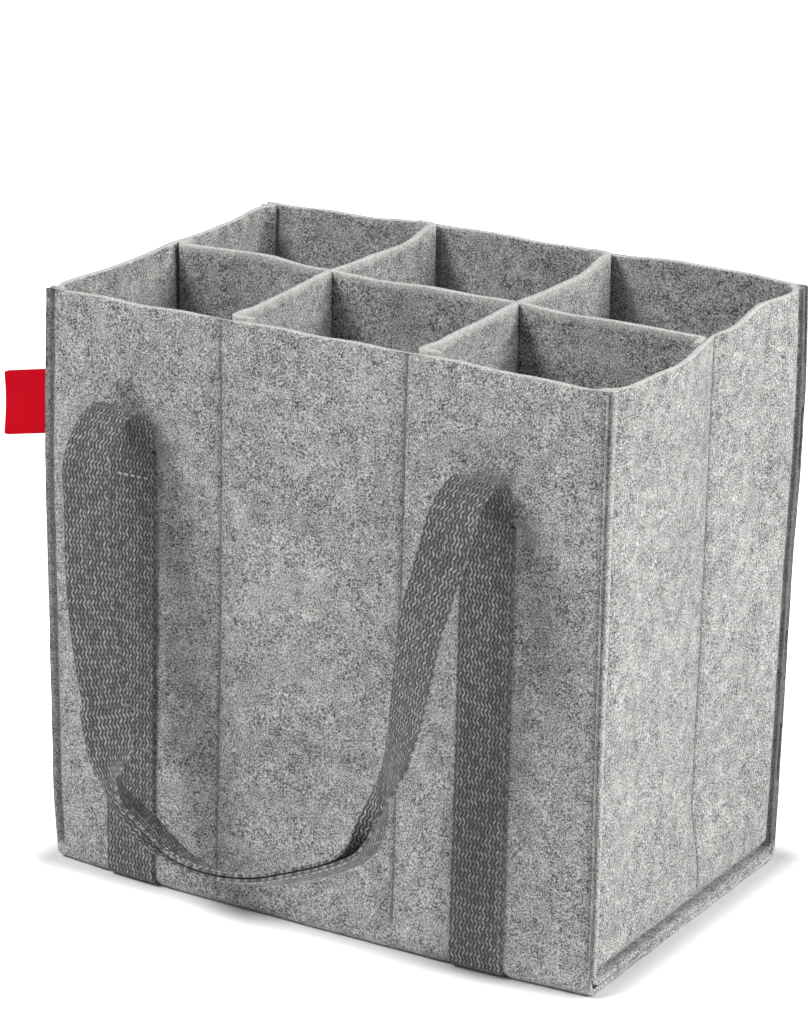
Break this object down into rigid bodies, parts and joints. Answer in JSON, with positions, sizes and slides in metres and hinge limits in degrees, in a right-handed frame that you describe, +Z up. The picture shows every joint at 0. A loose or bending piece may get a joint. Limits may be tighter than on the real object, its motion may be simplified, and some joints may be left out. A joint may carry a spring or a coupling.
{
  "type": "felt bottle carrier bag",
  "caption": "Open-topped felt carrier bag with slotted felt dividers that make bottle cells, webbing straps sewn round it, and a hanging webbing handle on each long side.",
  "frame": {"origin": "on the floor plane, under the middle of the bag's base, where the felt's underside rests", "axes": "+X along the bag's width, +Y from the front to the back, +Z up; the label is at the front left corner"},
  "size_m": [0.3051, 0.296, 0.27],
  "materials": {
    "felt": "mottled grey wool felt",
    "webbing": "grey woven polyester webbing",
    "label": "plain red woven tape",
    "thread": "grey sewing thread"
  },
  "bodies": {
    "bag": {"wrap_panel": "felt", "side_panel_left": "felt", "side_panel_right": "felt", "long_divider": "felt", "cross_divider_left": "felt", "cross_divider_right": "felt", "strap_left": "webbing", "strap_right": "webbing", "fold_front_left": "webbing", "fold_front_right": "webbing", "fold_back_left": "webbing", "fold_back_right": "webbing", "label": "label", "corner_thread_front_left": "thread", "corner_thread_front_right": "thread", "corner_thread_back_left": "thread", "corner_thread_back_right": "thread", "base_thread_left": "thread", "base_thread_right": "thread", "divider_thread_front_left": "thread", "divider_thread_front_right": "thread", "divider_thread_back_left": "thread", "divider_thread_back_right": "thread", "divider_thread_left": "thread", "divider_thread_right": "thread", "bartack_front_left": "thread", "bartack_front_right": "thread", "bartack_back_left": "thread", "bartack_back_right": "thread", "strap_thread_front_left_outer": "thread", "strap_thread_front_left_inner": "thread", "strap_thread_front_right_outer": "thread", "strap_thread_front_right_inner": "thread", "strap_thread_back_left_outer": "thread", "strap_thread_back_left_inner": "thread", "strap_thread_back_right_outer": "thread", "strap_thread_back_right_inner": "thread"},
    "front_handle": {"front_handle": "webbing"},
    "back_handle": {"back_handle": "webbing"}
  },
  "joints": [
    {"name": "front_handle_lift", "type": "hinge", "parent": "bag", "child": "front_handle", "pos_m": [0, -0.1081, 0.223], "axis": [-1, 0, 0], "range_deg": [0, 175], "deforming": ["fold_front_left", "fold_front_right"]},
    {"name": "back_handle_lift", "type": "hinge", "parent": "bag", "child": "back_handle", "pos_m": [0, 0.1081, 0.223], "axis": [1, 0, 0], "range_deg": [0, 175], "deforming": ["fold_back_left", "fold_back_right"]}
  ]
}
